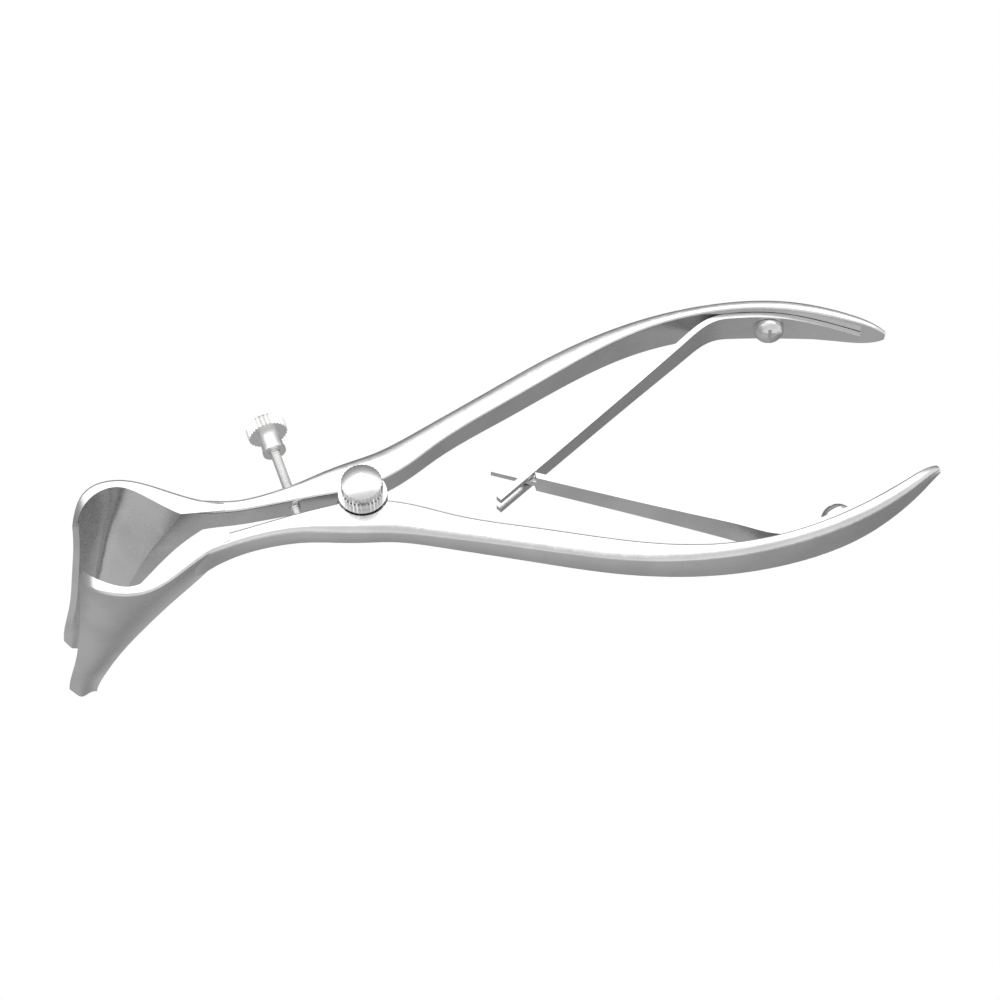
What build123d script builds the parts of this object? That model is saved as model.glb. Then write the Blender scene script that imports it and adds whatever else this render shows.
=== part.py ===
from build123d import *
from math import cos, radians, sin
import os

# Nasal speculum with a lap joint, tongue-and-fork leaf springs and a set screw, in millimetres.
# X runs towards the handles, Y towards the arm that carries the set screw, and Z up through
# the joint screw. The origin is on the hinge axis, at the underside of the joint.

# Joint
joint_depth = 4.8
boss_radius = 3.75
boss_gap = 0.35
spot_face_margin = 0.6
running_clearance = 0.03
seat_clearance = 0.02
mid_z = joint_depth / 2

# Joint screw
joint_head_radius = 3.2
joint_head_side = 2.9
joint_head_dome = 0.9
joint_shoulder_radius = 1.9
joint_thread_radius = 1.5
joint_knurl_teeth = 32
joint_knurl_depth = 0.14

# Arm, as sections along its length: X, distance of the inner face from the middle line, width of
# the flat top, full thickness, depth, drop of the rounded shoulder, and height of the section's
# centre above the middle of the joint
arm_sections = (
    (-27.5, 2.80, 1.55, 2.35, 6.1, 0.7, -2.45),
    (-25.0, 2.45, 1.85, 2.62, 5.2, 1.0, -1.3),
    (-20.0, 1.75, 1.55, 2.30, 4.4, 1.2, -1.05),
    (-15.0, 1.40, 1.70, 2.50, 4.4, 1.3, -0.65),
    (-10.0, 1.15, 2.40, 3.40, 4.5, 1.4, -0.2),
    (-5.0, 0.95, 3.50, 4.86, 4.6, 1.4, 0.0),
    (0.0, 1.10, 4.10, 5.65, 4.6, 1.4, 0.0),
    (5.0, 2.45, 3.70, 5.38, 4.4, 1.3, 0.0),
    (12.4, 6.26, 2.60, 4.20, 4.5, 1.05, 0.0),
    (24.7, 11.65, 2.10, 3.68, 5.05, 0.9, 0.0),
    (37.0, 16.65, 1.75, 3.38, 5.5, 0.85, 0.0),
    (49.4, 20.40, 0.97, 2.43, 6.6, 1.12, 0.0),
    (61.7, 21.10, 0.77, 2.05, 7.6, 1.3, 0.0),
    (74.0, 18.60, 0.92, 2.20, 7.7, 1.3, 0.0),
    (81.5, 15.65, 0.80, 1.80, 6.3, 1.0, 0.0),
    (86.3, 13.55, 0.48, 1.13, 3.9, 0.6, 0.0),
    (88.0, 12.90, 0.36, 0.78, 1.4, 0.3, 0.0),
)
edge_round = 0.35
shank_crown = 0.12
grip_crown = 0.25
grip_start_x = 24.7

# Blade, as level sections: height from the middle of the joint, X of the proximal edge, X where
# the hollow starts, X of the distal edge, depth of the bulge, wall at the bulge, root thickness,
# and how far the distal edge stands off the split
blade_sections = (
    (3.4, -22.0, -26.6, -44.0, 6.8, 1.7, 1.7, 0.0),
    (-1.0, -22.4, -29.0, -44.35, 6.2, 1.4, 2.2, 0.2),
    (-4.2, -26.0, -31.2, -44.8, 5.6, 1.1, 3.0, 0.7),
    (-8.5, -30.2, -34.0, -45.55, 4.9, 0.95, 3.0, 1.1),
    (-14.0, -34.4, -36.9, -46.7, 4.0, 0.95, 2.4, 1.3),
    (-20.0, -38.7, -40.0, -48.0, 3.15, 0.95, 1.85, 1.2),
    (-27.0, -43.2, -44.0, -50.0, 2.05, 0.95, 1.4, 1.0),
    (-33.0, -46.5, -47.2, -51.6, 1.45, 0.95, 1.3, 0.8),
    (-39.0, -47.4, -48.3, -53.2, 1.05, 0.85, 1.0, 0.6),
)
blade_wall = 0.95
distal_tilt = 0.5
rim_round = 0.5
split_root_x = -27.4
split_root_y = 2.7
split_flare = 0.115
split_lean = 0.05
outer_shape = ((0.33, 0.68), (0.62, 1.0), (0.86, 0.74))
hollow_shape = ((0.30, 0.65), (0.60, 1.0), (0.86, 0.57))
rim_line = ((-18.0, 1.3), (-27.4, 1.3), (-33.0, 1.7), (-38.3, 2.9), (-40.3, 3.15), (-42.0, 2.8), (-43.2, 1.8), (-44.4, 0.0))
tip_line = ((-53.2, -30.8), (-51.6, -33.6), (-50.7, -35.2), (-49.9, -36.1), (-48.9, -36.5), (-47.9, -36.55),
            (-47.2, -36.1), (-46.7, -35.0), (-45.6, -32.6), (-43.4, -29.6))
side_margin = 12.0

# Set screw, measured along its axis from the foot that bears on the other arm
set_screw_x = -10.3
set_screw_lean = 8.0
set_rod_radius = 0.8
set_foot_gap = 0.03
set_hub_start = 13.0
set_hub_length = 3.5
set_hub_radius = 1.7
set_hub_lip = 1.85
set_lip_length = 0.5
set_rod_hold = 2.6
set_disc_radius = 3.15
set_disc_thickness = 1.8
set_disc_crown = 0.35
set_disc_teeth = 30
set_tooth_depth = 0.3

# Leaf springs: each runs straight from its free end to its bend, then along the handle
spring_thickness = 0.95
spring_seat_gap = 0.08
fork_end = (20.2, -5.0)
fork_bend = (54.1, 16.6)
tongue_end = (20.4, -1.2)
tongue_bend = (53.5, 16.55)
spring_foot_end_x = 84.3
spring_foot_steps = (0.28, 0.36, 0.44, 0.54, 0.69, 0.86, 1.0)
spring_widths = ((19.0, 3.7), (35.0, 3.8), (48.0, 4.4), (57.0, 5.2), (64.0, 5.6), (71.5, 5.5),
                 (77.4, 3.9), (81.5, 2.3), (84.6, 0.9))
tongue_width = 1.1
fork_slot = 1.5
fork_root_reach = 1.6
tongue_shoulder_reach = 1.2

# Spring screws
spring_screw_x = 70.4
spring_screw_radius = 0.9
spring_screw_grip = 1.5
spring_head_radius = 2.4
spring_head_side = 0.7
spring_head_dome = 1.6
spring_slot_width = 0.55
spring_slot_depth = 0.7
spring_hole_clearance = 0.1
spring_head_gap = 0.08


def arm_outline(flat, thickness, depth, shoulder, crown):
    """Closed outline across the arm: flat inner face at 0, flat top, round shoulder, crowned outer face."""
    half = depth / 2
    corner = min(edge_round, 0.4 * flat, 0.3 * half)
    bow = corner * (1 - cos(radians(45)))
    reach = (thickness - flat) * sin(radians(45))
    fall = shoulder * (1 - cos(radians(45)))

    def side(up):
        return [
            Edge.make_three_point_arc((0, up * (half - corner)), (bow, up * (half - bow)), (corner, up * half)),
            Edge.make_line((corner, up * half), (flat, up * half)),
            Edge.make_spline(
                [(flat, up * half), (flat + reach, up * (half - fall)), (thickness, up * (half - shoulder))],
                tangents=[(1, 0), (0, -up)],
            ),
        ]

    return Wire([
        Edge.make_line((0, corner - half), (0, half - corner)),
        *side(1),
        Edge.make_three_point_arc(
            (thickness, half - shoulder), (thickness + crown, 0), (thickness, shoulder - half)
        ),
        *side(-1),
    ])


def inner_line():
    """Inner face of the arm in plan."""
    return Spline(*[(x, y) for x, y, *_ in arm_sections])


def strap():
    """Shank, joint cheek and handle in one run, without the joint's cuts."""
    line = inner_line()
    outlines = []
    for x, y, flat, thickness, depth, shoulder, rise in arm_sections:
        along = line.tangent_at(line.param_at_point((x, y)))
        across = Plane((x, y, mid_z + rise), x_dir=(-along.Y, along.X, 0), z_dir=(along.X, along.Y, 0))
        share = min(max((x - boss_radius) / (grip_start_x - boss_radius), 0), 1)
        crown = shank_crown + share * (grip_crown - shank_crown)
        outlines.append(across * arm_outline(flat, thickness, depth, shoulder, crown))
    return Solid.make_loft(outlines)


def split_y(x, rise):
    """Distance from the middle line of the face where the two half funnels meet."""
    return split_root_y + split_flare * (split_root_x - x) + split_lean * rise


def blade_outline(rise, root_x, hollow_x, distal_x, depth, bulge_wall, root_thickness, lift):
    """Level section of the half funnel: thick proximal root and a thin wall round the hollow."""

    def place(x, height):
        return (x, split_y(x, rise) + height, mid_z + rise)

    root_inner = place(root_x, 0)
    root_outer = place(root_x, root_thickness)
    outer_end = place(distal_x, lift)
    inner_end = place(distal_x + blade_wall, distal_tilt * lift)
    hollow_start = place(hollow_x, 0)
    span = distal_x - root_x
    outer = [place(root_x + run * span, share * depth) for run, share in outer_shape]
    hollow_span = distal_x + blade_wall - hollow_x
    hollow_depth = depth - bulge_wall
    hollow = [place(hollow_x + run * hollow_span, share * hollow_depth) for run, share in hollow_shape]
    return Wire([
        Edge.make_line(root_inner, root_outer),
        Edge.make_spline([root_outer, *outer, outer_end]),
        Edge.make_line(outer_end, inner_end),
        Edge.make_spline([inner_end, *reversed(hollow), hollow_start]),
        Edge.make_line(hollow_start, root_inner),
    ])


def side_waste(line, drop):
    """What lies above a line in the side view, or below it where the drop is negative."""
    points = [(x, mid_z + rise) for x, rise in line]
    first, last = (points[0], points[-1]) if points[0][0] > points[-1][0] else (points[-1], points[0])
    near_x = first[0] + side_margin
    far_x = last[0] - side_margin
    level = max(first[1], last[1]) + drop if drop > 0 else min(first[1], last[1]) + drop
    face = make_face([
        Spline(*points),
        Line(first, (near_x, first[1])),
        Line((near_x, first[1]), (near_x, level)),
        Line((near_x, level), (far_x, level)),
        Line((far_x, level), (far_x, last[1])),
        Line((far_x, last[1]), last),
    ])
    return extrude(Plane.XZ * face, amount=2 * side_margin, both=True)


def blade():
    """Half funnel, its rim and tip trimmed to the side view, the rim's outer edge rounded."""
    funnel = Solid.make_loft([blade_outline(*section) for section in blade_sections])
    funnel = funnel - side_waste(rim_line, side_margin) - side_waste(tip_line, -side_margin)
    rim_edges = [edge for edge in funnel.edges() if min((edge @ 0).Z, (edge @ 1).Z) > mid_z]
    return fillet(max(rim_edges, key=lambda edge: edge.length), rim_round)


def rod_between(radius, low, high):
    """Cylinder on the local Z axis between two distances."""
    return Pos(0, 0, low) * Cylinder(radius, high - low, align=(Align.CENTER, Align.CENTER, Align.MIN))


def spot_faces():
    """Removes what stands above or below the flat cheeks round the joint."""
    radius = boss_radius + spot_face_margin
    return rod_between(radius, joint_depth, 2 * joint_depth) + rod_between(radius, -joint_depth, 0)


def arm_blank():
    """One arm on the side of the set screw, before its lap is cut."""
    return strap() + blade()


def upper_joint(blank):
    """Upper lap: boss in the top half, recess for the other boss below, and the shoulder's bore."""
    arm = blank - rod_between(boss_radius + boss_gap, -joint_depth, mid_z)
    arm += rod_between(boss_radius, mid_z, joint_depth)
    arm -= spot_faces()
    return arm - rod_between(joint_shoulder_radius + running_clearance, 0, 2 * joint_depth)


def lower_joint(blank):
    """Lower lap: boss in the bottom half, recess for the other boss above, and the thread's bore."""
    arm = blank - rod_between(boss_radius + boss_gap, mid_z, 2 * joint_depth)
    arm += rod_between(boss_radius, 0, mid_z)
    arm -= spot_faces()
    return arm - rod_between(joint_thread_radius + running_clearance, -joint_depth, 2 * joint_depth)


def knurled_outline(radius, teeth, depth):
    """Outline of a knurled rim: one shallow pointed tooth after another."""
    step = 360 / teeth
    points = []
    for tooth in range(teeth):
        for angle, reach in ((tooth * step, radius), ((tooth + 0.5) * step, radius - depth)):
            points.append((reach * cos(radians(angle)), reach * sin(radians(angle))))
    return make_face(Polyline(*points, close=True))


def knurled_head(radius, teeth, depth, side, crown):
    """Knurled disc on the local Z axis, its face turned to a crown that also rounds the teeth."""
    reach = radius + depth
    profile = make_face([
        Line((0, 0), (reach, 0)),
        Line((reach, 0), (reach, side)),
        ThreePointArc((reach, side), (0.62 * reach, side + 0.76 * crown), (0, side + crown)),
        Line((0, side + crown), (0, 0)),
    ])
    return extrude(knurled_outline(radius, teeth, depth), side + crown) & revolve(Plane.XZ * profile, Axis.Z)


def joint_screw():
    """Knurled head with a shallow dome, a shoulder in the upper lap and a thread in the lower one."""
    seat = joint_depth + seat_clearance
    head = Pos(0, 0, seat) * knurled_head(
        joint_head_radius, joint_knurl_teeth, joint_knurl_depth, joint_head_side, joint_head_dome
    )
    shoulder = rod_between(joint_shoulder_radius, mid_z + seat_clearance, seat)
    thread = rod_between(joint_thread_radius, 0, mid_z + seat_clearance)
    return head + shoulder + thread


def set_screw_plane(lower_arm):
    """Plane at the set screw's foot, with its Z along the screw towards the knurled disc."""
    lean = radians(set_screw_lean)
    outward = Vector(-sin(lean), cos(lean), 0)
    start = Vector(set_screw_x, 0, mid_z)
    line = Edge.make_line(start - outward * boss_radius, start + outward * boss_radius)
    inside = lower_arm & line
    foot = max((vertex.Y for vertex in inside.vertices()))
    origin = start + outward * ((foot - start.Y) / outward.Y + set_foot_gap)
    return Plane(origin, x_dir=(0, 0, 1), z_dir=outward)


def set_screw_rod(plane):
    """Threaded rod, kept plain, with a rounded foot."""
    end = set_hub_start + set_rod_hold
    rod = rod_between(set_rod_radius, set_rod_radius, end)
    foot = Pos(0, 0, set_rod_radius) * Sphere(set_rod_radius)
    return plane * (rod + foot)


def set_screw_head(plane):
    """Hub with a lip, and a coarsely knurled disc with a slightly crowned face."""
    disc_low = set_hub_start + set_hub_length
    hub = rod_between(set_hub_radius, set_hub_start, disc_low)
    lip = rod_between(set_hub_lip, set_hub_start, set_hub_start + set_lip_length)
    disc = Pos(0, 0, disc_low) * knurled_head(
        set_disc_radius, set_disc_teeth, set_tooth_depth, set_disc_thickness, set_disc_crown
    )
    bore = rod_between(set_rod_radius + seat_clearance, 0, set_hub_start + set_rod_hold + seat_clearance)
    return plane * (hub + lip + disc - bore)


def crossing():
    """Where the two springs cross, in plan, with the unit directions that they run in."""
    fork_start = Vector(*fork_end)
    fork_run = (Vector(*fork_bend) - fork_start).normalized()
    tongue_start = Vector(tongue_end[0], -tongue_end[1])
    tongue_run = (Vector(tongue_bend[0], -tongue_bend[1]) - tongue_start).normalized()
    gap = tongue_start - fork_start
    reach = (gap.X * tongue_run.Y - gap.Y * tongue_run.X) / (
        fork_run.X * tongue_run.Y - fork_run.Y * tongue_run.X
    )
    return fork_start + fork_run * reach, fork_run, tongue_run


def seat_point(x, inset):
    """Point at an X on the handle's inner face, moved inwards, with the direction outwards there."""
    line = inner_line()
    low, high = 0.0, 1.0
    for _ in range(40):
        middle = (low + high) / 2
        if line.position_at(middle).X < x:
            low = middle
        else:
            high = middle
    along = line.tangent_at(low)
    outward = Vector(-along.Y, along.X, 0)
    return line.position_at(low) - outward * inset, outward


def leaf(end, bend, cut):
    """Bent leaf on the side of the set screw: its thin strip trimmed to its outline from the side."""
    inset = spring_seat_gap + spring_thickness / 2
    rest = spring_foot_end_x - bend[0]
    foot = [seat_point(bend[0] + step * rest, inset)[0] for step in spring_foot_steps]
    run = Line(end, bend)
    direction = run.tangent_at(1)
    path = Wire([run.edge(), Spline(bend, *foot, tangents=[direction, foot[-1] - foot[-2]]).edge()])
    start = Plane((end[0], end[1], mid_z), x_dir=(-direction.Y, direction.X, 0), z_dir=direction)
    strip = sweep(start * Rectangle(spring_thickness, 2 * side_margin), path)
    upper = [(x, mid_z + width / 2) for x, width in spring_widths]
    lower = [(x, mid_z - width / 2) for x, width in reversed(spring_widths)]
    outline = make_face([
        Spline(*upper), Line(upper[-1], lower[0]), Spline(*lower), Line(lower[-1], upper[0])
    ])
    body = strip & extrude(Plane.XZ * outline, amount=3 * side_margin, both=True)
    hole, outward = seat_point(spring_screw_x, 0)
    bore = Plane((hole.X, hole.Y, mid_z), z_dir=outward) * Cylinder(
        spring_screw_radius + spring_hole_clearance, side_margin
    )
    return body - cut - bore


def fork_cut():
    """Slot between the fork's prongs, from beyond their ends to just past the crossing."""
    meeting, run, _ = crossing()
    root_x = meeting.X + fork_root_reach * run.X
    length = 2 * side_margin
    return Pos(root_x, 0, mid_z) * Box(
        length, 2 * length, fork_slot, align=(Align.MAX, Align.CENTER, Align.CENTER)
    )


def tongue_cut():
    """What is taken from both edges of the leaf to leave its tongue."""
    meeting, _, run = crossing()
    shoulder_x = meeting.X + tongue_shoulder_reach * run.X
    length = 2 * side_margin
    waste = Box(length, 2 * length, length, align=(Align.MAX, Align.CENTER, Align.CENTER))
    tongue = Box(length, 2 * length, tongue_width, align=(Align.MAX, Align.CENTER, Align.CENTER))
    return Pos(shoulder_x, 0, mid_z) * (waste - tongue)


def spring_screw_plane():
    """Plane on the spring's inner face at its screw, with its Z towards the middle line."""
    point, outward = seat_point(spring_screw_x, spring_seat_gap + spring_thickness + spring_head_gap)
    return Plane((point.X, point.Y, mid_z), x_dir=(0, 0, 1), z_dir=-outward)


def spring_screw():
    """Slotted oval-head screw that holds a leaf to its handle."""
    top = spring_head_side + spring_head_dome
    profile = make_face([
        Line((0, 0), (spring_head_radius, 0)),
        Line((spring_head_radius, 0), (spring_head_radius, spring_head_side)),
        ThreePointArc(
            (spring_head_radius, spring_head_side),
            (0.62 * spring_head_radius, spring_head_side + 0.72 * spring_head_dome),
            (0, top),
        ),
        Line((0, top), (0, 0)),
    ])
    head = revolve(Plane.XZ * profile, Axis.Z)
    slot = Pos(0, 0, top) * Box(4 * spring_head_radius, spring_slot_width, 2 * spring_slot_depth)
    length = spring_head_gap + spring_thickness + spring_seat_gap + spring_screw_grip
    shank = rod_between(spring_screw_radius, -length, 0)
    return spring_screw_plane() * (head - slot + shank)


def spring_screw_bore():
    """Blind bore in the handle for a spring screw."""
    length = spring_head_gap + spring_thickness + spring_seat_gap + spring_screw_grip + seat_clearance
    return spring_screw_plane() * rod_between(spring_screw_radius + seat_clearance, -length, 0)


def model():
    """Every piece, by the name of its node."""
    blank = arm_blank() - spring_screw_bore()
    lower_arm = lower_joint(mirror(blank, Plane.XZ))
    plane = set_screw_plane(lower_arm)
    set_bore = plane * rod_between(set_rod_radius + running_clearance, 0, set_hub_start)
    upper_arm = upper_joint(blank) - set_bore
    screw = spring_screw()
    return {
        "upper_arm": upper_arm,
        "lower_arm": lower_arm,
        "joint_screw": joint_screw(),
        "set_screw_rod": set_screw_rod(plane),
        "set_screw_head": set_screw_head(plane),
        "upper_spring": leaf(fork_end, fork_bend, fork_cut()),
        "lower_spring": mirror(leaf(tongue_end, tongue_bend, tongue_cut()), Plane.XZ),
        "upper_spring_screw": screw,
        "lower_spring_screw": mirror(screw, Plane.XZ),
    }


os.makedirs("parts", exist_ok=True)
for name, solid in model().items():
    export_step(solid, f"parts/{name}.step")
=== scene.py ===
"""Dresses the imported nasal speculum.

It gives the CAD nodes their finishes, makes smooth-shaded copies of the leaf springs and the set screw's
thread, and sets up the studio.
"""

import logging
import math
from collections.abc import Callable
from dataclasses import dataclass
from enum import Enum

import bpy
from mathutils import Matrix, Vector


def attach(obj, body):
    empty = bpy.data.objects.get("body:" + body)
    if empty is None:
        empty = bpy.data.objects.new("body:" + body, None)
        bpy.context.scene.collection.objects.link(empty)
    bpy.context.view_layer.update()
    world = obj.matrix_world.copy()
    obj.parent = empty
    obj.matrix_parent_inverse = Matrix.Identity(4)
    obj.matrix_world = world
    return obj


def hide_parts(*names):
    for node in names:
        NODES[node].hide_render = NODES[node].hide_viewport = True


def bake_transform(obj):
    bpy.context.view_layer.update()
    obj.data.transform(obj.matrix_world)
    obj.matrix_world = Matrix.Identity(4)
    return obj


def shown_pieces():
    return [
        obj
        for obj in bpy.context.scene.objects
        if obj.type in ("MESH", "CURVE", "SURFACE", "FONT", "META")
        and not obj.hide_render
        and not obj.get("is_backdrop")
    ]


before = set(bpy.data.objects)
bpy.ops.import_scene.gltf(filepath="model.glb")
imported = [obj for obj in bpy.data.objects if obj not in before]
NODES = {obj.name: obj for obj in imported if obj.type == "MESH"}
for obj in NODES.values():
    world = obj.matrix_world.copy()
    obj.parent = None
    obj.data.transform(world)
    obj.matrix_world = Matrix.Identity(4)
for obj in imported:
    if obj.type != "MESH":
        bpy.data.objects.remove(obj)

MM = 0.001
SMOOTH_ANGLE = math.radians(28)
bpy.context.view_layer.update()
log = logging.getLogger("speculum")


class Slot(Enum):
    """The record's material slots."""

    ARM = "arm_steel"
    SPRING = "spring_steel"
    SCREW = "screw_steel"


class Grain(Enum):
    """Which way a finish's grinding lines run: the stretch of the noise along x, y and z."""

    ALONG = (0.35, 1.0, 0.8)
    EVEN = (1.0, 1.0, 1.0)


class Graph:
    """A node tree, with short calls that add nodes and join them."""

    def __init__(self, tree: bpy.types.NodeTree) -> None:
        """Clears the tree.

        Args:
            tree: the node tree of a material or a world.
        """
        self.tree = tree
        tree.nodes.clear()

    def add(self, kind: str, **inputs: object) -> bpy.types.Node:
        """Adds one node.

        Args:
            kind: the node's type name.
            inputs: a socket to be joined, or a value, for the input of that name, with _ for a space.

        Returns:
            The new node.
        """
        node = self.tree.nodes.new(kind)
        for name, value in inputs.items():
            self.put(node, name.replace("_", " "), value)
        return node

    def put(self, node: bpy.types.Node, name: str | int, value: object) -> None:
        """Joins a socket to an input, or gives the input a value.

        Args:
            node: the node that has the input.
            name: the input's name or number.
            value: an output socket, or a plain value.
        """
        if isinstance(value, bpy.types.NodeSocket):
            self.tree.links.new(value, node.inputs[name])
        else:
            node.inputs[name].default_value = value

    def noise(
        self, vector: bpy.types.NodeSocket, scale: float, detail: float, rough: float
    ) -> bpy.types.NodeSocket:
        """Adds a noise texture.

        Args:
            vector: where the noise is read.
            scale: spots per metre of the vector.
            detail: octaves.
            rough: how strongly the finer octaves count.

        Returns:
            The noise's value, about 0.3 to 0.7.
        """
        node = self.add("ShaderNodeTexNoise", Vector=vector, Scale=scale, Detail=detail, Roughness=rough)
        return node.outputs[0]

    def spread(
        self, value: bpy.types.NodeSocket, low: float, high: float, start: float, end: float
    ) -> bpy.types.NodeSocket:
        """Maps a value from one span to another, held at both ends.

        Args:
            value: the incoming value.
            low: the value that gives start.
            high: the value that gives end.
            start: the outgoing value at low.
            end: the outgoing value at high.

        Returns:
            The mapped value.
        """
        node = self.add("ShaderNodeMapRange")
        node.interpolation_type = "SMOOTHSTEP"
        for slot, number in zip(("From Min", "From Max", "To Min", "To Max"), (low, high, start, end)):
            self.put(node, slot, number)
        self.put(node, "Value", value)
        return node.outputs[0]

    def mix(self, share: bpy.types.NodeSocket, first: object, second: object) -> bpy.types.NodeSocket:
        """Mixes two colours.

        Args:
            share: how much of the second.
            first: a colour or a socket.
            second: a colour or a socket.

        Returns:
            The mixed colour.
        """
        node = self.tree.nodes.new("ShaderNodeMix")
        node.data_type = "RGBA"
        self.put(node, 0, share)
        self.put(node, 6, first)
        self.put(node, 7, second)
        return node.outputs[2]

    def blend(self, share: bpy.types.NodeSocket, first: object, second: object) -> bpy.types.NodeSocket:
        """Mixes two values.

        Args:
            share: how much of the second.
            first: a socket or a number.
            second: a socket or a number.

        Returns:
            The mixed value.
        """
        node = self.tree.nodes.new("ShaderNodeMix")
        self.put(node, 0, share)
        self.put(node, 2, first)
        self.put(node, 3, second)
        return node.outputs[0]

    def calc(self, first: object, second: object, operation: str = "ADD") -> bpy.types.NodeSocket:
        """Joins two values by arithmetic.

        Args:
            first: a socket or a number.
            second: a socket or a number.
            operation: the math node's operation.

        Returns:
            The result.
        """
        node = self.tree.nodes.new("ShaderNodeMath")
        node.operation = operation
        self.put(node, 0, first)
        self.put(node, 1, second)
        return node.outputs[0]


@dataclass(frozen=True)
class SteelFinish:
    """Ground and polished stainless steel.

    It has grinding lines, cloudy wear, fine scratches and small pits. A span is the pair of noise
    values between which a mark grows from nothing to full.
    """

    name: str
    bright: tuple[float, float, float, float]
    dull: tuple[float, float, float, float]
    smooth: float
    coarse: float
    grain: Grain
    grain_scale: float
    grain_depth: float
    line_span: tuple[float, float] = (0.34, 0.66)
    cloud_scale: float = 90.0
    cloud_span: tuple[float, float] = (0.38, 0.64)
    cloud_dulling: float = 0.05
    scratch_scale: float = 260.0
    scratch_stretch: tuple[float, float, float] = (0.16, 0.9, 0.5)
    scratch_turn: tuple[float, float, float] = (0.3, 0.25, 0.5)
    scratch_span: tuple[float, float] = (0.60, 0.72)
    scratch_dulling: float = 0.10
    scratch_height: float = -0.35
    pit_scale: float = 900.0
    pit_span: tuple[float, float] = (0.66, 0.76)
    pit_share: float = 0.5
    pit_tint: tuple[float, float, float, float] = (0.86, 0.85, 0.84, 1.0)
    pit_tint_share: float = 0.5
    pit_dulling: float = 0.18
    pit_height: float = -0.6
    bump_reach: float = 0.00006

    def material(self) -> bpy.types.Material:
        """Builds the finish as nodes.

        Returns:
            The material.
        """
        made = bpy.data.materials.new(self.name)
        made.use_nodes = True
        graph = Graph(made.node_tree)
        place = graph.add("ShaderNodeTexCoord").outputs["Object"]
        along = graph.add("ShaderNodeMapping", Vector=place, Scale=self.grain.value).outputs[0]
        askew = graph.add(
            "ShaderNodeMapping", Vector=place, Scale=self.scratch_stretch, Rotation=self.scratch_turn
        ).outputs[0]
        lines = graph.noise(along, self.grain_scale, 6.0, 0.62)
        clouds = graph.noise(place, self.cloud_scale, 4.0, 0.55)
        cuts = graph.noise(askew, self.scratch_scale, 8.0, 0.8)
        spots = graph.noise(place, self.pit_scale, 3.0, 0.7)
        worn = graph.spread(clouds, *self.cloud_span, 0.0, 1.0)
        scratches = graph.spread(cuts, *self.scratch_span, 0.0, 1.0)
        pits = graph.spread(spots, *self.pit_span, 0.0, self.pit_share)
        tint = graph.mix(worn, self.bright, self.dull)
        marked = graph.mix(graph.calc(pits, self.pit_tint_share, "MULTIPLY"), tint, self.pit_tint)
        gloss = graph.spread(lines, *self.line_span, self.smooth, self.coarse)
        gloss = graph.calc(gloss, graph.calc(worn, self.cloud_dulling, "MULTIPLY"))
        gloss = graph.calc(gloss, graph.calc(scratches, self.scratch_dulling, "MULTIPLY"))
        gloss = graph.calc(gloss, graph.calc(pits, self.pit_dulling, "MULTIPLY"))
        height = graph.calc(lines, graph.calc(scratches, self.scratch_height, "MULTIPLY"))
        height = graph.calc(height, graph.calc(pits, self.pit_height, "MULTIPLY"))
        bump = graph.add(
            "ShaderNodeBump", Strength=self.grain_depth, Distance=self.bump_reach, Height=height
        ).outputs[0]
        shader = graph.add(
            "ShaderNodeBsdfPrincipled", Base_Color=marked, Metallic=1.0, Roughness=gloss, Normal=bump
        )
        output = graph.add("ShaderNodeOutputMaterial")
        graph.put(output, "Surface", shader.outputs[0])
        return made


@dataclass(frozen=True)
class Finishes:
    """The finishes of the instrument."""

    arm: SteelFinish = SteelFinish(
        name="satin_arm_steel",
        bright=(0.74, 0.74, 0.745, 1.0),
        dull=(0.66, 0.658, 0.66, 1.0),
        smooth=0.20,
        coarse=0.27,
        grain=Grain.ALONG,
        grain_scale=1900.0,
        grain_depth=0.10,
    )
    spring: SteelFinish = SteelFinish(
        name="satin_spring_steel",
        bright=(0.70, 0.70, 0.71, 1.0),
        dull=(0.62, 0.618, 0.62, 1.0),
        smooth=0.22,
        coarse=0.30,
        grain=Grain.ALONG,
        grain_scale=1900.0,
        grain_depth=0.10,
    )
    screw: SteelFinish = SteelFinish(
        name="polished_screw_steel",
        bright=(0.76, 0.76, 0.76, 1.0),
        dull=(0.68, 0.68, 0.68, 1.0),
        smooth=0.15,
        coarse=0.22,
        grain=Grain.EVEN,
        grain_scale=1600.0,
        grain_depth=0.08,
    )
    turned: SteelFinish = SteelFinish(
        name="turned_set_screw_steel",
        bright=(0.86, 0.86, 0.86, 1.0),
        dull=(0.74, 0.74, 0.74, 1.0),
        smooth=0.34,
        coarse=0.44,
        grain=Grain.EVEN,
        grain_scale=2400.0,
        grain_depth=0.16,
    )


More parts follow.
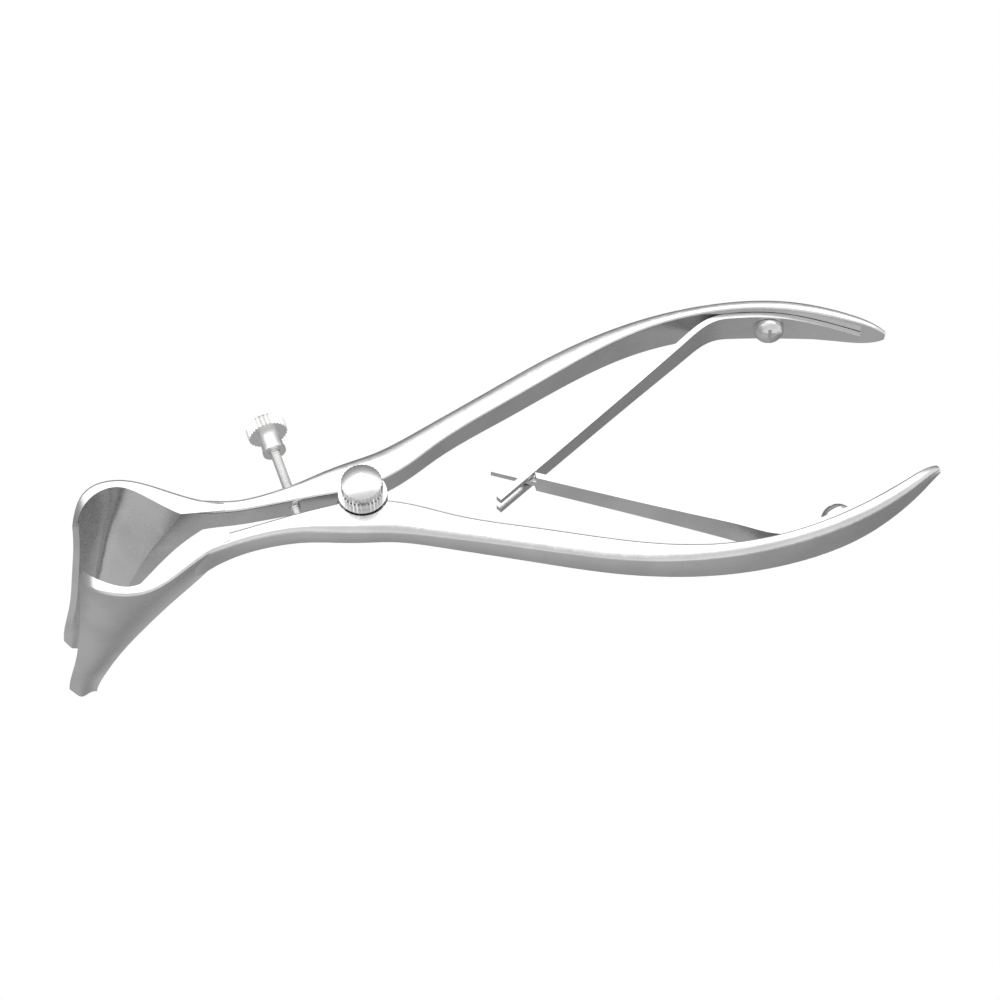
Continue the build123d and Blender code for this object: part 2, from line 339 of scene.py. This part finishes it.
class Bench:
    """The hand work in Blender: what is selected, and how a copy of a CAD node is begun."""

    merge_distance = 0.000002

    @staticmethod
    def clear() -> None:
        """Leaves edit mode and deselects everything."""
        if bpy.context.object is not None and bpy.context.object.mode != "OBJECT":
            bpy.ops.object.mode_set(mode="OBJECT")
        bpy.ops.object.select_all(action="DESELECT")

    @staticmethod
    def take(piece: bpy.types.Object) -> None:
        """Makes a piece the only selected one, and the active one.

        Args:
            piece: the object to work on.
        """
        Bench.clear()
        bpy.context.view_layer.objects.active = piece
        piece.select_set(True)

    @staticmethod
    def pick(piece: bpy.types.Object, wanted: Callable[[bpy.types.MeshVertex], bool]) -> None:
        """Selects the vertices that a test picks, and stays in edit mode.

        Args:
            piece: the object.
            wanted: takes a vertex and says whether it is selected.
        """
        Bench.take(piece)
        bpy.ops.object.mode_set(mode="EDIT")
        bpy.ops.mesh.select_mode(type="VERT")
        bpy.ops.mesh.select_all(action="DESELECT")
        bpy.ops.object.mode_set(mode="OBJECT")
        for vertex in piece.data.vertices:
            vertex.select = wanted(vertex)
        bpy.ops.object.mode_set(mode="EDIT")

    @staticmethod
    def copy_of(node: str, name: str) -> bpy.types.Object:
        """Copies a CAD node's mesh into a new piece, merged and with its round faces shaded smooth.

        Args:
            node: the CAD node.
            name: the piece's name.

        Returns:
            The piece.
        """
        piece = bpy.data.objects.new(name, NODES[node].data.copy())
        bpy.context.scene.collection.objects.link(piece)
        Bench.take(piece)
        bpy.ops.object.mode_set(mode="EDIT")
        bpy.ops.mesh.select_all(action="SELECT")
        bpy.ops.mesh.remove_doubles(threshold=Bench.merge_distance)
        bpy.ops.mesh.customdata_custom_splitnormals_clear()
        bpy.ops.object.mode_set(mode="OBJECT")
        bpy.ops.object.shade_smooth_by_angle(angle=SMOOTH_ANGLE)
        return piece


def dress(piece: bpy.types.Object, material: bpy.types.Material) -> None:
    """Gives a piece or a CAD node its one finish.

    Args:
        piece: the object.
        material: the finish's material.
    """
    piece.data.materials.clear()
    piece.data.materials.append(material)


@dataclass
class Arms:
    """The two arms: blade, shank, half of the lap joint and handle."""

    nodes: tuple[str, str] = ("upper_arm", "lower_arm")

    def dress(self, finishes: Finishes) -> None:
        """Gives both arms the satin finish.

        Args:
            finishes: the instrument's finishes.
        """
        material = finishes.arm.material()
        for node in self.nodes:
            dress(NODES[node], material)


@dataclass
class LeafSprings:
    """The two leaf springs, which cross between the handles; the copies keep the CAD shape and are not
    bent.
    """

    crossing_x: float = 25.6
    bend_reach: float = 29.4
    sides: tuple[tuple[str, str, str], ...] = (
        ("upper_spring", "upper_side", "lower_side"),
        ("lower_spring", "lower_side", "upper_side"),
    )

    def build(self, finishes: Finishes) -> None:
        """Makes smooth-shaded copies of the CAD springs, which stand in for them.

        Args:
            finishes: the instrument's finishes.
        """
        material = finishes.spring.material()
        for node, own_side, far_side in self.sides:
            leaf = Bench.copy_of(node, node + "_leaf")
            dress(leaf, material)
            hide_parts(node)
            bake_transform(leaf)


@dataclass
class SetScrew:
    """The set screw: its rod, with the cut thread that the CAD rod leaves out, and its CAD head."""

    node: str = "set_screw_rod"
    head: str = "set_screw_head"
    place: tuple[float, float, float] = (-10.3, 0.0, 2.4)
    lean: float = 8.0
    crest: float = 0.79
    depth: float = 0.13
    pitch: float = 0.42
    steps: int = 24
    spare_turns: int = 2
    start_turns: float = 1.5
    weld_distance: float = 0.000004

    def span(self, base: Vector, axis: Vector) -> tuple[float, float]:
        """Finds how far the CAD rod reaches along its axis.

        Args:
            base: a point on the axis, in metres.
            axis: the axis, one metre long.

        Returns:
            The lowest and the highest distance from the point, in metres.
        """
        reaches = [(vertex.co - base).dot(axis) for vertex in NODES[self.node].data.vertices]
        return min(reaches), max(reaches)

    def profile(self) -> bpy.types.Object:
        """Makes one tooth of the thread as two edges, from a plane.

        Returns:
            The object, with three vertices.
        """
        root = (self.crest - self.depth) * MM
        pitch = self.pitch * MM
        Bench.clear()
        bpy.ops.mesh.primitive_plane_add(
            size=pitch, location=(root - pitch / 2, 0.0, pitch / 2), rotation=(math.pi / 2, 0.0, 0.0)
        )
        rod = bpy.context.object
        rod.name = "set_screw_thread"
        bpy.ops.object.transform_apply(location=True, rotation=True, scale=True)
        Bench.pick(rod, lambda vertex: vertex.co.x < root - pitch / 2)
        bpy.ops.mesh.delete(type="VERT")
        bpy.ops.mesh.select_all(action="SELECT")
        bpy.ops.mesh.subdivide(number_cuts=1)
        Bench.pick(rod, lambda vertex: abs(vertex.co.z - pitch / 2) < pitch / 10)
        bpy.ops.transform.translate(value=(self.depth * MM, 0.0, 0.0))
        bpy.ops.object.mode_set(mode="OBJECT")
        return rod

    def build(self, finishes: Finishes) -> None:
        """Winds the tooth round the rod, cuts its ends level, sets it on its axis and dresses the head.

        Args:
            finishes: the instrument's finishes.
        """
        material = finishes.turned.material()
        dress(NODES[self.head], material)
        base = Vector(self.place) * MM
        lean = math.radians(self.lean)
        axis = Vector((-math.sin(lean), math.cos(lean), 0.0))
        low, high = self.span(base, axis)
        rod = self.profile()
        pitch = self.pitch * MM
        turns = math.ceil((high - low) / pitch) + self.spare_turns
        wind = rod.modifiers.new("thread", "SCREW")
        wind.axis = "Z"
        wind.screw_offset = pitch
        wind.iterations = turns
        wind.steps = self.steps
        wind.render_steps = self.steps
        wind.use_merge_vertices = False
        Bench.take(rod)
        bpy.ops.object.modifier_apply(modifier="thread")
        bpy.ops.object.mode_set(mode="EDIT")
        bpy.ops.mesh.select_all(action="SELECT")
        bpy.ops.mesh.remove_doubles(threshold=self.weld_distance)
        bpy.ops.transform.translate(value=(0.0, 0.0, low - self.start_turns * pitch))
        for height, outward in ((low, -1.0), (high, 1.0)):
            bpy.ops.mesh.select_all(action="SELECT")
            bpy.ops.mesh.bisect(
                plane_co=(0.0, 0.0, height),
                plane_no=(0.0, 0.0, outward),
                use_fill=True,
                clear_outer=True,
            )
        bpy.ops.mesh.select_all(action="SELECT")
        bpy.ops.mesh.normals_make_consistent(inside=False)
        bpy.ops.object.mode_set(mode="OBJECT")
        rod.matrix_world = Matrix.Translation(base) @ axis.to_track_quat("Z", "Y").to_matrix().to_4x4()
        bpy.ops.object.transform_apply(location=True, rotation=True, scale=True)
        bpy.ops.object.shade_smooth_by_angle(angle=SMOOTH_ANGLE)
        dress(rod, material)
        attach(rod, self.node)
        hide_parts(self.node)


@dataclass
class Screws:
    """The joint screw and the two spring screws."""

    nodes: tuple[str, ...] = (
        "joint_screw",
        "upper_spring_screw",
        "lower_spring_screw",
    )

    def dress(self, finishes: Finishes) -> None:
        """Gives the screws the polished finish.

        Args:
            finishes: the instrument's finishes.
        """
        material = finishes.screw.material()
        for node in self.nodes:
            dress(NODES[node], material)


@dataclass
class Studio:
    """The camera at the photograph's place, a lit white table, and soft light from above and behind.

    The ring is the light's strength round the instrument's long axis, by the angle in degrees from
    straight up, with the camera's side positive. The sides are the strengths at the axis's two ends.
    """

    camera_place: tuple[float, float, float] = (-14.033, -163.469, 263.119)
    camera_right: tuple[float, float, float] = (0.97722, -0.21222, 0.0)
    camera_up: tuple[float, float, float] = (0.17997, 0.82873, 0.52992)
    camera_back: tuple[float, float, float] = (-0.11246, -0.51785, 0.84805)
    lens: float = 72.0
    sensor: float = 36.0
    clip: tuple[float, float] = (0.01, 20.0)
    table_z: float = -34.3
    table_size: float = 4.0
    ring: tuple[tuple[float, float], ...] = (
        (-180.0, 0.36),
        (-150.0, 0.24),
        (-120.0, 0.20),
        (-95.0, 0.28),
        (-76.0, 0.42),
        (-60.0, 0.62),
        (-46.0, 1.15),
        (-36.0, 2.10),
        (-10.0, 2.10),
        (10.0, 1.00),
        (30.0, 0.80),
        (60.0, 0.92),
        (86.0, 1.00),
        (104.0, 0.56),
        (130.0, 0.44),
        (180.0, 0.36),
    )
    left_side: float = 0.50
    right_side: float = 0.95
    side_span: tuple[float, float] = (0.70, 0.97)
    left_gain: float = 0.45
    low_span: tuple[float, float] = (-0.1, -0.5)
    sky_tint: tuple[float, float, float, float] = (1.0, 0.995, 0.99, 1.0)
    white: tuple[float, float, float, float] = (1.0, 1.0, 1.0, 1.0)

    def camera(self) -> None:
        """Places the camera."""
        data = bpy.data.cameras.new("photo_camera")
        data.lens = self.lens
        data.sensor_width = self.sensor
        data.clip_start, data.clip_end = self.clip
        camera = bpy.data.objects.new("photo_camera", data)
        bpy.context.scene.collection.objects.link(camera)
        axes = Matrix((self.camera_right, self.camera_up, self.camera_back)).transposed()
        camera.matrix_world = Matrix.Translation(Vector(self.camera_place) * MM) @ axes.to_4x4()
        bpy.context.scene.camera = camera

    def table(self) -> None:
        """Makes the white table, lit from inside, which glossy rays pass."""
        Bench.clear()
        bpy.ops.mesh.primitive_plane_add(size=self.table_size, location=(0.0, 0.0, self.table_z * MM))
        table = bpy.context.object
        table.name = "table"
        made = bpy.data.materials.new("table_white")
        made.use_nodes = True
        graph = Graph(made.node_tree)
        glow = graph.add("ShaderNodeEmission", Color=self.white, Strength=1.0)
        output = graph.add("ShaderNodeOutputMaterial")
        graph.put(output, "Surface", glow.outputs[0])
        table.data.materials.append(made)
        table.visible_glossy = False
        table.visible_shadow = False
        table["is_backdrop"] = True

    def world(self) -> None:
        """Makes the surroundings: a broad light above and behind, a dim far horizon and a grey floor."""
        world = bpy.data.worlds.new("tent")
        bpy.context.scene.world = world
        world.use_nodes = True
        graph = Graph(world.node_tree)
        place = graph.add("ShaderNodeTexCoord").outputs["Generated"]
        parts = graph.add("ShaderNodeSeparateXYZ", Vector=place)
        across, along, height = parts.outputs
        ahead = graph.calc(along, -1.0, "MULTIPLY")
        turn = graph.calc(ahead, height, "ARCTAN2")
        turn = graph.calc(graph.calc(turn, 0.5 / math.pi, "MULTIPLY"), 0.5)
        ramp = graph.add("ShaderNodeValToRGB", Fac=turn)
        peak = max(level for _, level in self.ring)
        stops = ramp.color_ramp.elements
        while len(stops) < len(self.ring):
            stops.new(0.5)
        for stop, (angle, level) in zip(stops, self.ring):
            stop.position = angle / 360.0 + 0.5
            share = level / peak
            stop.color = (share, share, share, 1.0)
        low = graph.spread(height, *self.low_span, 0.0, self.left_gain)
        gain = graph.calc(graph.calc(graph.calc(across, -1.0, "MULTIPLY"), low, "MULTIPLY"), 1.0)
        ring = graph.calc(graph.calc(ramp.outputs[0], peak, "MULTIPLY"), gain, "MULTIPLY")
        near, far = self.side_span
        right = graph.spread(across, near, far, 0.0, 1.0)
        left = graph.spread(across, -near, -far, 0.0, 1.0)
        ring = graph.blend(right, ring, self.right_side)
        ring = graph.blend(left, ring, self.left_side)
        back = graph.add("ShaderNodeBackground", Color=self.sky_tint, Strength=ring)
        output = graph.add("ShaderNodeOutputWorld")
        graph.put(output, "Surface", back.outputs[0])

    def build(self) -> None:
        """Makes the whole studio."""
        self.camera()
        self.table()
        self.world()
        bpy.context.scene.view_settings.view_transform = "Standard"


def main() -> None:
    """Builds the classes in order and reports each one."""
    logging.basicConfig(level=logging.INFO, format="%(name)s: %(message)s")
    finishes = Finishes()
    Arms().dress(finishes)
    log.info("arms dressed")
    LeafSprings().build(finishes)
    log.info("leaf springs built")
    SetScrew().build(finishes)
    log.info("set screw built")
    Screws().dress(finishes)
    log.info("screws dressed")
    Studio().build()
    log.info("studio built")
    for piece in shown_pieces():
        log.info("%s: %d faces", piece.name, len(piece.data.polygons))


if __name__ == "__main__":
    main()
